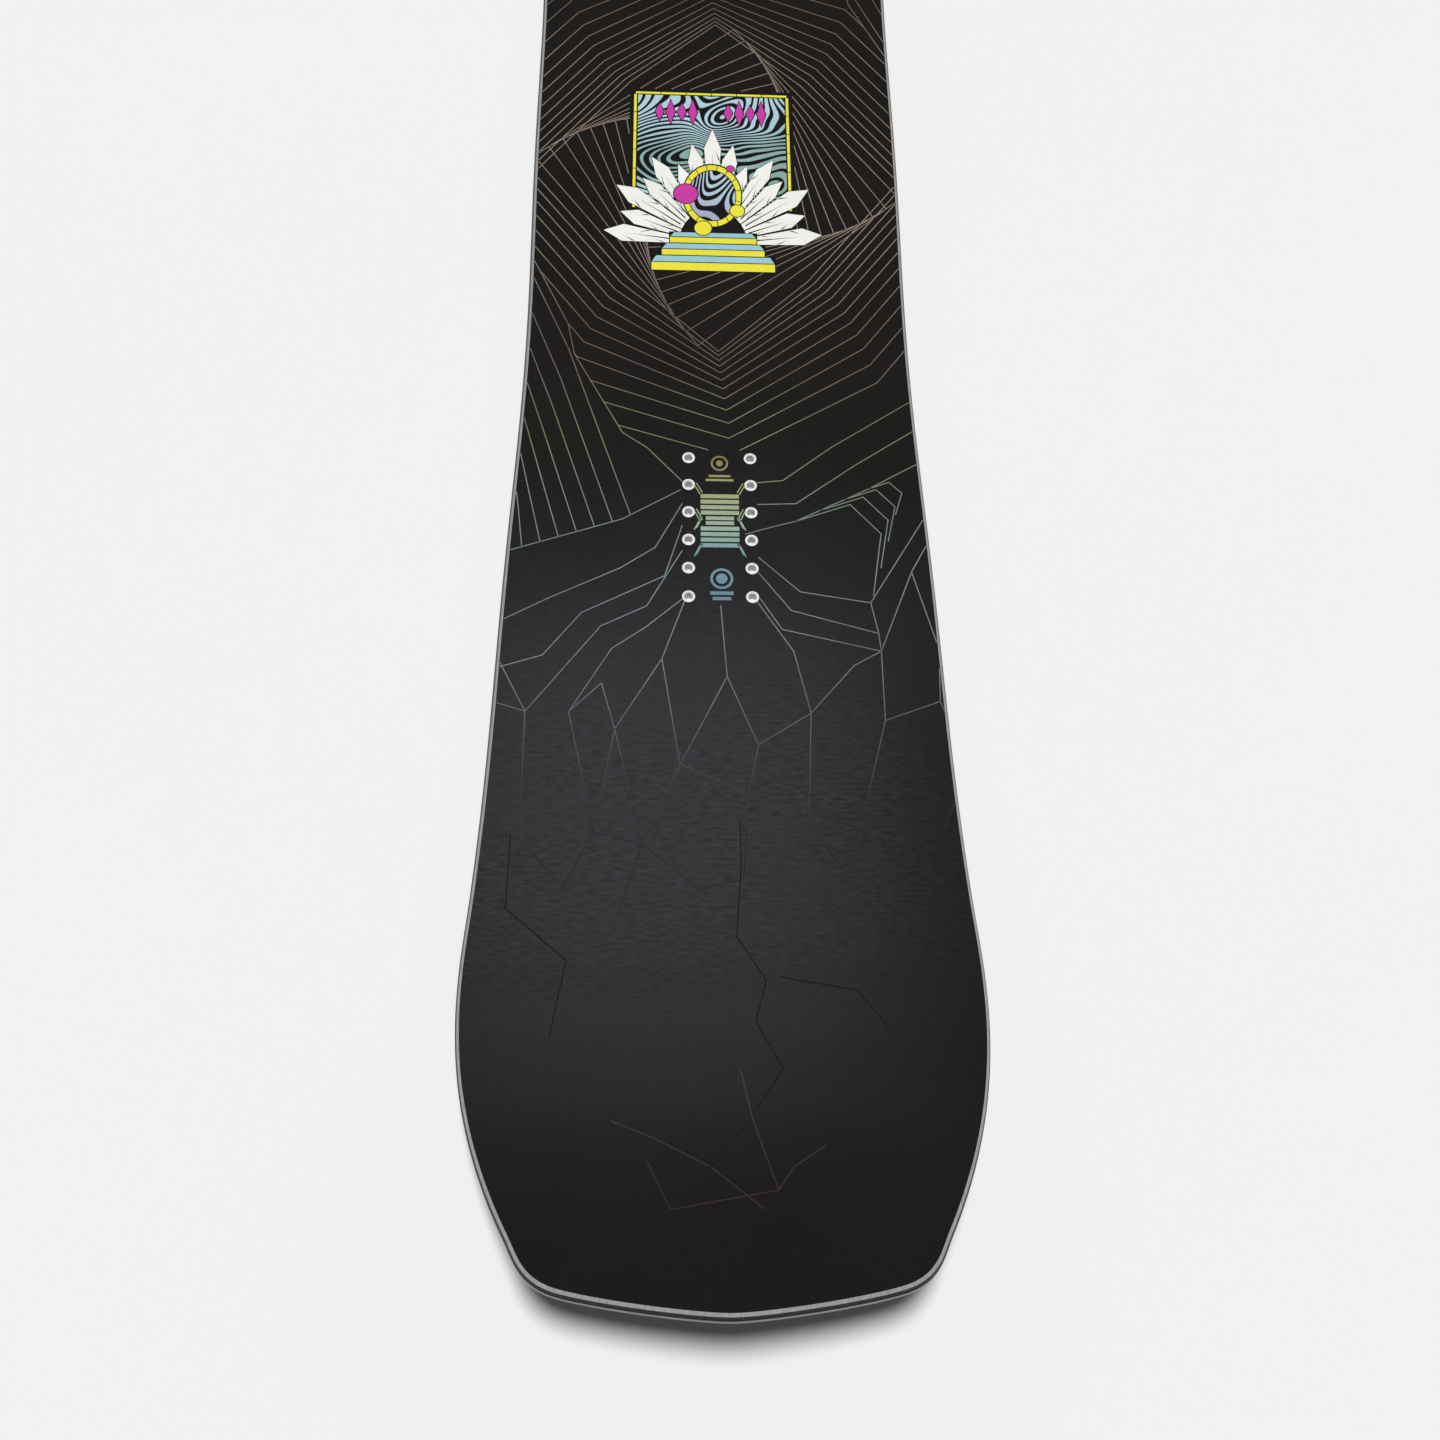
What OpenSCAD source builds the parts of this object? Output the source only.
// Twin-tip snowboard deck: a moulded sandwich of base, steel edges, glass, wood core and
// topsheet, with threaded inserts for a pair of bindings.
// Frame: board length along Y (nose at -Y, tail at +Y), width along X (left at -X), up is +Z.
// Origin on the ground plane, under the middle of the board. Millimetres.
// Each layer follows one outline drawn on the flat blank. The blank is then bent to the side
// profile, so an edge stays square to the board even where the nose and tail turn up.

/* [Outline on the flat blank] */
// Width across the steel edges at the waist, on the middle line of the grip waves
waist_width = 257.6; // [252:0.1:262]
// Radius of the sidecut
sidecut_radius = 8706; // [8200:1:9400]
// Height of the grip waves along the sidecut, from their middle line to a crest
wave_height = 0.93; // [0:0.01:1.2]
// Distance from one grip wave to the next
wave_pitch = 336.5; // [320:0.5:360]
// Distance from the middle to where the sidecut hands over to the nose curve
sidecut_end = 540; // [535:1:545]
// Width at the widest place of the nose and of the tail
tip_width = 297.3; // [295.5:0.1:299]
// Distance from the middle to the widest place
widest_at = 599.4; // [595:0.1:604]
// Half width at the shoulder, where the straight flank meets the rounded corner
shoulder_half_width = 113.7; // [112:0.1:116]
// Distance from the middle to the shoulder
shoulder_at = 729.8; // [727:0.1:732]
// Angle of the flank from the board's long axis at the shoulder, in degrees
flank_angle = 28.5; // [26:0.1:31]
// Half width where the rounded corner meets the blunt end
corner_half_width = 85.9; // [84:0.1:88]
// Distance from the middle to that place
corner_at = 758.9; // [757.5:0.1:760]
// Angle of the end curve from straight across at that place, in degrees
corner_angle = 16.6; // [14:0.1:19]
// Half the length of the blank, along the base
half_length = 772.1; // [770:0.1:775]

/* [Side profile] */
// Height of the camber arch at the middle
camber = 3; // [0:0.1:5]
// Distance from the middle to where the camber arch ends
camber_end = 240; // [200:1:240]
// Distance from the middle to where the flat under the binding ends
flat_end = 395; // [365:1:420]
// Radius of the early rise between the flat and the kick
rise_radius = 3800; // [3000:10:5000]
// Distance along the base from the middle to where the kick starts
kick_start = 590; // [570:1:600]
// Radius of the upturned nose and tail
kick_radius = 392; // [340:1:460]

/* [Sandwich] */
// Total thickness between and under the bindings
thickness_middle = 8.6; // [8:0.1:10]
// Total thickness at the nose and the tail
thickness_tip = 5.6; // [4.8:0.1:6]
// Distance from the middle to where the taper starts
taper_start = 405; // [400:1:450]
// Distance from the middle to where the taper ends
taper_end = 700; // [660:1:740]
// Thickness of the running base
base_thickness = 1.3; // [1.1:0.1:1.5]
// Height of the steel edge
edge_height = 2; // [1.9:0.1:2.2]
// Visible width of the steel edge, seen from below
edge_width = 2; // [1.5:0.1:2.5]
// Reach of the steel edge's anchor flange, from the outside
flange_reach = 8.5; // [8:0.1:9]
// Thickness of the rubber foil laid over the steel edge
foil_thickness = 0.3; // [0.3:0.05:0.4]
// Thickness of each glass layer
glass_thickness = 0.7; // [0.6:0.05:0.8]
// Thickness of the topsheet
topsheet_thickness = 0.6; // [0.5:0.05:0.8]
// Width of the sidewall strip at its foot
sidewall_width = 11; // [10:0.1:13]
// Lean of the sidewall, in degrees from square
sidewall_lean = 16; // [8:0.5:18]
// Ledge of the steel edge that shows outside the sidewall's foot
edge_ledge = 0.3; // [0.2:0.05:0.5]
// Width of one lengthwise wood stringer
stringer_width = 20; // [20:0.1:20.5]
// Width of the middle stringer
middle_stringer_width = 21; // [20:0.1:21]

/* [Binding inserts] */
// Distance between the centres of the front and rear insert groups
stance = 600; // [592:1:604]
// Distance between the two columns of a group
column_spacing = 40; // [40]
// Distance between rows
row_spacing = 20; // [20]
// Rows in a group
rows = 6; // [2:2:6]
// Outer diameter of the insert barrel
insert_diameter = 8.2; // [8:0.1:9]
// Diameter of the flange at the foot of the insert
insert_flange_diameter = 18; // [14:0.5:18]
// Thickness of that flange
insert_flange_thickness = 1.2; // [1:0.1:1.5]
// Core diameter of the M6 thread
thread_core_diameter = 5; // [5]
// Metal left under the blind threaded hole
insert_floor = 1; // [0.8:0.1:1.2]

/* [Hidden] */
$fn = 64;

// Sides of the board, as the sign of x
left = -1;
right = 1;

// How far the drilled holes start below the ground plane, and run on above the board
drill_below = 0.01;
drill_above = 1;

// Glass and topsheet above the core
skin = glass_thickness + topsheet_thickness;
// The lower glass steps up over the rubber foil and the edge's anchor flange
foil_top = edge_height + foil_thickness;
step_up = foil_top - base_thickness;
// Underside of the core, inside the step and on it
core_floor = base_thickness + glass_thickness;
ledge_floor = core_floor + step_up;
// Insets of the upper end of the edge flange's bevel, and of the top of the glass step
flange_bevel_inset = flange_reach - (edge_height - base_thickness);
step_inset = flange_reach - step_up;

// Stringers are numbered outwards from the middle one
insert_stringer_number = 1;
outer_stringer_number = 6;
group_centres = [-stance / 2, stance / 2];

// Reach of the outline's Bezier handles, named for their curve and the end they leave
flare_start_handle = 17.7;
flare_end_handle = 22.3;
flank_start_handle = 35.5;
flank_end_handle = 59.7;
corner_start_handle = 11.4;
corner_end_handle = 19.5;
end_start_handle = 22;
end_finish_handle = 16;

// Steps along each stretch of the quarter outline
sidecut_steps = 18;
flare_steps = 6;
flank_steps = 14;
corner_steps = 8;
end_steps = 10;

topsheet_black = [0.12, 0.12, 0.13];
glass_grey = [0.62, 0.63, 0.6];
poplar = [0.85, 0.74, 0.55];
beech = [0.7, 0.5, 0.32];
sidewall_black = [0.13, 0.13, 0.14];
spacer_black = [0.15, 0.15, 0.16];
rubber_black = [0.05, 0.05, 0.05];
steel = [0.72, 0.73, 0.75];
base_black = [0.1, 0.1, 0.1];
insert_metal = [0.75, 0.76, 0.76];

// ---------- side profile ----------
// In this section distance is measured along the base from the middle, and is not negative
degrees = 180 / PI;
kick_angle = degrees * (kick_start - flat_end) / rise_radius;

// Angle of the base
function tilt(distance) =
    distance < camber_end
        ? atan(-4 * camber * (1 - pow(distance / camber_end, 2)) * distance / pow(camber_end, 2))
    : distance < flat_end ? 0
    : distance < kick_start ? degrees * (distance - flat_end) / rise_radius
    : kick_angle + degrees * (distance - kick_start) / kick_radius;

// Place on the early rise where the base has the given angle, as [distance along Y, height]
function rise_point(angle) =
    [flat_end + rise_radius * sin(angle), rise_radius * (1 - cos(angle))];

// Place of the base, as [distance along Y, height]
function base_line(distance) =
    let (angle = tilt(distance))
    distance < camber_end ? [distance, camber * pow(1 - pow(distance / camber_end, 2), 2)]
    : distance < flat_end ? [distance, 0]
    : distance < kick_start ? rise_point(angle)
    : rise_point(kick_angle)
        + kick_radius * [sin(angle) - sin(kick_angle), cos(kick_angle) - cos(angle)];

// A point of the blank (across, along, height above the base) in its place on the bent board
function lift(across, along, height) =
    let (angle = tilt(abs(along)), base = base_line(abs(along)))
    [across, sign(along) * (base[0] - height * sin(angle)), base[1] + height * cos(angle)];

// Total thickness, eased from the middle's to the tip's
function thickness(along) =
    let (part = max(0, min(1, (abs(along) - taper_start) / (taper_end - taper_start))))
    thickness_middle + (thickness_tip - thickness_middle) * part * part * (3 - 2 * part);

// ---------- outline ----------
function half_width(along) = waist_width / 2 + along * along / (2 * sidecut_radius)
    + wave_height * cos(360 * along / wave_pitch);
function sidecut_slope(along) = along / sidecut_radius
    - wave_height * 2 * PI / wave_pitch * sin(360 * along / wave_pitch);

// Bezier curve through four control points, without its last point
function curve(p, steps) = [for (i = [0:steps - 1])
    let (t = i / steps)
    pow(1 - t, 3) * p[0] + 3 * pow(1 - t, 2) * t * p[1] + 3 * (1 - t) * t * t * p[2]
        + t * t * t * p[3]];

// Ends of the curves, as [half width, distance from the middle], and the directions there
sidecut_tip = [half_width(sidecut_end), sidecut_end];
widest = [tip_width / 2, widest_at];
shoulder = [shoulder_half_width, shoulder_at];
corner = [corner_half_width, corner_at];
end_point = [0, half_length];
sidecut_way = [sidecut_slope(sidecut_end), 1] / norm([sidecut_slope(sidecut_end), 1]);
flank_way = [-sin(flank_angle), cos(flank_angle)];
corner_way = [-cos(corner_angle), sin(corner_angle)];

flare = [sidecut_tip, sidecut_tip + flare_start_handle * sidecut_way,
    widest - [0, flare_end_handle], widest];
flank = [widest, widest + [0, flank_start_handle],
    shoulder - flank_end_handle * flank_way, shoulder];
round_off = [shoulder, shoulder + corner_start_handle * flank_way,
    corner - corner_end_handle * corner_way, corner];
end_curve = [corner, corner + end_start_handle * corner_way,
    end_point + [end_finish_handle, 0], end_point];

// Quarter outline as [half width, distance], from the waist to the end point on the centre line
quarter = concat(
    [for (i = [0:sidecut_steps - 1])
        let (along = i * sidecut_end / sidecut_steps) [half_width(along), along]],
    curve(flare, flare_steps),
    curve(flank, flank_steps),
    curve(round_off, corner_steps),
    curve(end_curve, end_steps),
    [end_point]);
waist = len(quarter) - 1;
last_rim = 2 * waist;

// One long side of the outline, from the nose point to the tail point
rim = [for (i = [0:last_rim]) i < waist
    ? [quarter[waist - i][0], -quarter[waist - i][1]] : quarter[i - waist]];

// Rim points at the widest places, where the wood core meets the nose and tail spacers
nose_joint = waist - (sidecut_steps + flare_steps);
tail_joint = waist + (sidecut_steps + flare_steps);

// Outward direction of the outline at each rim point
rim_out = [for (i = [0:last_rim])
    i == 0 ? [0, -1]
    : i == last_rim ? [0, 1]
    : i == nose_joint || i == tail_joint ? [1, 0]
    : let (way = rim[i + 1] - rim[i - 1]) [way[1], -way[0]] / norm(way)];

// ---------- contours ----------
// How far the board's side lies inside the steel edge's outer face: the sidewall leans in up to
// the top of the core, and the skin above it is bevelled at 45 degrees
function side_inset(along, height) =
    let (core_top = thickness(along) - skin, lean = tan(sidewall_lean))
    height < edge_height ? 0
    : height <= core_top ? edge_ledge + (height - edge_height) * lean
    : edge_ledge + (core_top - edge_height) * lean + height - core_top;

// A contour is a pair of functions of the place along the blank: the inset from the outline and
// the height above the base. A third entry, if any, fixes the distance from the centre line.
// Depths are measured down from the top of the board.
function side_at(height) = [function (along) side_inset(along, height), function (along) height];
function side_below_top(depth) = [
    function (along) side_inset(along, thickness(along) - depth),
    function (along) thickness(along) - depth];
function inset_at(inset, height) = [function (along) inset, function (along) height];
function inset_below_top(inset, depth) =
    [function (along) inset, function (along) thickness(along) - depth];

// Point of a contour at rim point i, on one side of the bent board
function place(i, contour, side) =
    let (
        inset = contour[0](rim[i][1]),
        blank = rim[i] - rim_out[i] * inset,
        across = is_undef(contour[2]) ? blank[0] : contour[2])
    lift(side * across, blank[1], contour[1](blank[1]));

// ---------- skinning ----------
function flipped(face, flip) = flip ? [for (j = [len(face) - 1:-1:0]) face[j]] : face;
function without_repeats(face) =
    [for (j = [0:len(face) - 1]) if (face[j] != face[(j + 1) % len(face)]) face[j]];

// A full-width layer: contours run from its lower face round the side to its upper face.
// from and to pick a stretch of the board; ends lists the flat faces that close an open
// stretch, each vertex as [contour, rim point, is left].
module layer(contours, from = 0, to = last_rim, ends = []) {
    count = to - from + 1;
    top = len(contours) - 1;
    // Both sides share the right side's vertex at the nose and tail points
    function at(k, i, is_left) =
        (k * 2 + (is_left && i > 0 && i < last_rim ? 1 : 0)) * count + i - from;
    points = [for (contour = contours, side = [right, left], i = [from:to])
        place(i, contour, side)];
    lower_and_upper = [for (i = [from:to - 1], k = [0, top])
        without_repeats(flipped(
            [at(k, i, false), at(k, i + 1, false), at(k, i + 1, true), at(k, i, true)],
            k == top))];
    sides = [for (k = [0:top - 1], i = [from:to - 1], is_left = [false, true]) each [
        flipped([at(k + 1, i, is_left), at(k + 1, i + 1, is_left), at(k, i, is_left)], is_left),
        flipped([at(k + 1, i + 1, is_left), at(k, i + 1, is_left), at(k, i, is_left)], is_left)]];
    closing = [for (face = ends) [for (vertex = face) at(vertex[0], vertex[1], vertex[2])]];
    polyhedron(points = points, faces = concat(lower_and_upper, sides, closing), convexity = 6);
}

// A strip that runs along one side: contours go round its cross-section, anticlockwise on the
// right side as seen from the nose, and start at the section's reentrant corner if it has one
module rim_strip(contours, side, from = 0, to = last_rim) {
    count = len(contours);
    function at(i, k) = (i - from) * count + k % count;
    function turn(face) = flipped(face, side == left);
    points = [for (i = [from:to], contour = contours) place(i, contour, side)];
    sides = [for (i = [from:to - 1], k = [0:count - 1]) each [
        turn([at(i, k), at(i, k + 1), at(i + 1, k + 1)]),
        turn([at(i, k), at(i + 1, k + 1), at(i + 1, k)])]];
    start = [for (k = [1:count - 2]) turn([at(from, 0), at(from, k + 1), at(from, k)])];
    finish = [for (k = [1:count - 2]) turn([at(to, 0), at(to, k), at(to, k + 1)])];
    polyhedron(points = points, faces = concat(sides, start, finish), convexity = 6);
}

// ---------- binding inserts ----------
// Calls its children at every insert of the group centred at y
module at_inserts(y, columns = [left, right])
    for (column = columns, row = [0:rows - 1])
        translate([column * column_spacing / 2, y + (row - (rows - 1) / 2) * row_spacing, 0])
            children();

// Flanged barrels that stand on the level of the steel edge's top, with blind threaded holes
module insert_group(y)
    difference() {
        at_inserts(y) union() {
            translate([0, 0, edge_height])
                cylinder(d = insert_flange_diameter, h = insert_flange_thickness);
            translate([0, 0, edge_height])
                cylinder(d = insert_diameter, h = thickness_middle - edge_height);
        }
        at_inserts(y) translate([0, 0, edge_height + insert_floor])
            cylinder(d = thread_core_diameter, h = thickness_middle);
    }

module barrel_holes(columns = [left, right])
    for (y = group_centres)
        at_inserts(y, columns) translate([0, 0, -drill_below])
            cylinder(d = insert_diameter, h = thickness_middle + drill_above);

module front_inserts() color(insert_metal) insert_group(group_centres[0]);
module rear_inserts() color(insert_metal) insert_group(group_centres[1]);

// ---------- full-width layers ----------
module topsheet()
    color(topsheet_black) difference() {
        layer([side_below_top(topsheet_thickness), side_below_top(0)]);
        barrel_holes();
    }

module upper_glass()
    color(glass_grey) difference() {
        layer([side_below_top(skin), side_below_top(topsheet_thickness)]);
        barrel_holes();
    }

module lower_glass()
    color(glass_grey)
        layer([
            inset_at(flange_reach, base_thickness),
            inset_at(step_inset, foil_top),
            side_at(foil_top),
            side_at(ledge_floor),
            inset_at(step_inset, ledge_floor),
            inset_at(flange_reach, core_floor)]);

module base_sheet()
    color(base_black)
        layer([inset_at(edge_width, 0), inset_at(edge_width, base_thickness)]);

// ---------- steel edges and rubber foil ----------
module steel_edge(side)
    rim_strip([
        inset_at(edge_width, base_thickness),
        inset_at(edge_width, 0),
        inset_at(0, 0),
        inset_at(0, edge_height),
        inset_at(flange_bevel_inset, edge_height),
        inset_at(flange_reach, base_thickness)], side);

module rubber_foil(side)
    rim_strip([
        inset_at(flange_bevel_inset, edge_height),
        inset_at(edge_ledge, edge_height),
        side_at(foil_top),
        inset_at(step_inset, foil_top)], side);

module left_steel_edge() color(steel) steel_edge(left);
module right_steel_edge() color(steel) steel_edge(right);
module left_rubber_foil() color(rubber_black) rubber_foil(left);
module right_rubber_foil() color(rubber_black) rubber_foil(right);

// ---------- sidewalls and spacers ----------
module sidewall(side)
    rim_strip([
        inset_at(step_inset, ledge_floor),
        side_at(ledge_floor),
        side_below_top(skin),
        inset_below_top(sidewall_width, skin),
        inset_at(sidewall_width, core_floor),
        inset_at(flange_reach, core_floor)], side, nose_joint, tail_joint);

module left_sidewall() color(sidewall_black) sidewall(left);
module right_sidewall() color(sidewall_black) sidewall(right);

// Moulded filler that carries the sandwich round the nose or the tail, beyond the wood core
spacer_section = [
    inset_at(flange_reach, core_floor),
    inset_at(step_inset, ledge_floor),
    side_at(ledge_floor),
    side_below_top(skin)];

// Faces that close a spacer at its joint: the part below the ledge, then the part above
function spacer_ends(joint, flip) = [
    flipped([[0, joint, false], [1, joint, false], [1, joint, true], [0, joint, true]], flip),
    flipped([[3, joint, false], [3, joint, true], [2, joint, true],
        [1, joint, true], [1, joint, false], [2, joint, false]], flip)];

module nose_spacer()
    color(spacer_black)
        layer(spacer_section, to = nose_joint, ends = spacer_ends(nose_joint, false));
module tail_spacer()
    color(spacer_black)
        layer(spacer_section, from = tail_joint, ends = spacer_ends(tail_joint, true));

// ---------- wood core ----------
// Side profile of the core, as [distance along Y, height] round the strip
function profile_point(along, height) = let (p = lift(0, along, height)) [p[1], p[2]];
core_profile = concat(
    [for (i = [nose_joint:tail_joint]) profile_point(rim[i][1], core_floor)],
    [for (i = [tail_joint:-1:nose_joint])
        profile_point(rim[i][1], thickness(rim[i][1]) - skin)]);

// Distance from the centre line to a stringer's inner face
function stringer_start(number) = middle_stringer_width / 2 + (number - 1) * stringer_width;

// A straight stringer between x and x + width, shaved to the core's side profile
module straight_stringer(x, width)
    translate([x, 0, 0]) rotate([90, 0, 90]) linear_extrude(width) polygon(core_profile);

module side_stringer(side, number)
    straight_stringer(
        side == right ? stringer_start(number) : -stringer_start(number + 1), stringer_width);

// The stringer that carries one column of inserts, drilled and counterbored from below
module insert_stringer(side)
    difference() {
        side_stringer(side, insert_stringer_number);
        barrel_holes([side]);
        for (y = group_centres)
            at_inserts(y, [side]) translate([0, 0, -drill_below])
                cylinder(d = insert_flange_diameter,
                    h = edge_height + insert_flange_thickness + drill_below);
    }

// The outermost stringer: straight inside, shaved to the sidecut outside
module outer_stringer(side) {
    inner_face = stringer_start(outer_stringer_number);
    foot = inset_at(sidewall_width, core_floor);
    head = inset_below_top(sidewall_width, skin);
    rim_strip([concat(foot, [inner_face]), foot, head, concat(head, [inner_face])],
        side, nose_joint, tail_joint);
}

module stringer(side, number)
    if (number == outer_stringer_number) outer_stringer(side);
    else if (number == insert_stringer_number) insert_stringer(side);
    else side_stringer(side, number);

module core_stringer_centre()
    color(poplar) straight_stringer(-middle_stringer_width / 2, middle_stringer_width);
module core_stringer_left_1() color(beech) stringer(left, 1);
module core_stringer_left_2() color(poplar) stringer(left, 2);
module core_stringer_left_3() color(poplar) stringer(left, 3);
module core_stringer_left_4() color(poplar) stringer(left, 4);
module core_stringer_left_5() color(poplar) stringer(left, 5);
module core_stringer_left_6() color(beech) stringer(left, 6);
module core_stringer_right_1() color(beech) stringer(right, 1);
module core_stringer_right_2() color(poplar) stringer(right, 2);
module core_stringer_right_3() color(poplar) stringer(right, 3);
module core_stringer_right_4() color(poplar) stringer(right, 4);
module core_stringer_right_5() color(poplar) stringer(right, 5);
module core_stringer_right_6() color(beech) stringer(right, 6);

topsheet();
upper_glass();
core_stringer_centre();
core_stringer_left_1();
core_stringer_left_2();
core_stringer_left_3();
core_stringer_left_4();
core_stringer_left_5();
core_stringer_left_6();
core_stringer_right_1();
core_stringer_right_2();
core_stringer_right_3();
core_stringer_right_4();
core_stringer_right_5();
core_stringer_right_6();
left_sidewall();
right_sidewall();
nose_spacer();
tail_spacer();
lower_glass();
left_rubber_foil();
right_rubber_foil();
left_steel_edge();
right_steel_edge();
base_sheet();
front_inserts();
rear_inserts();
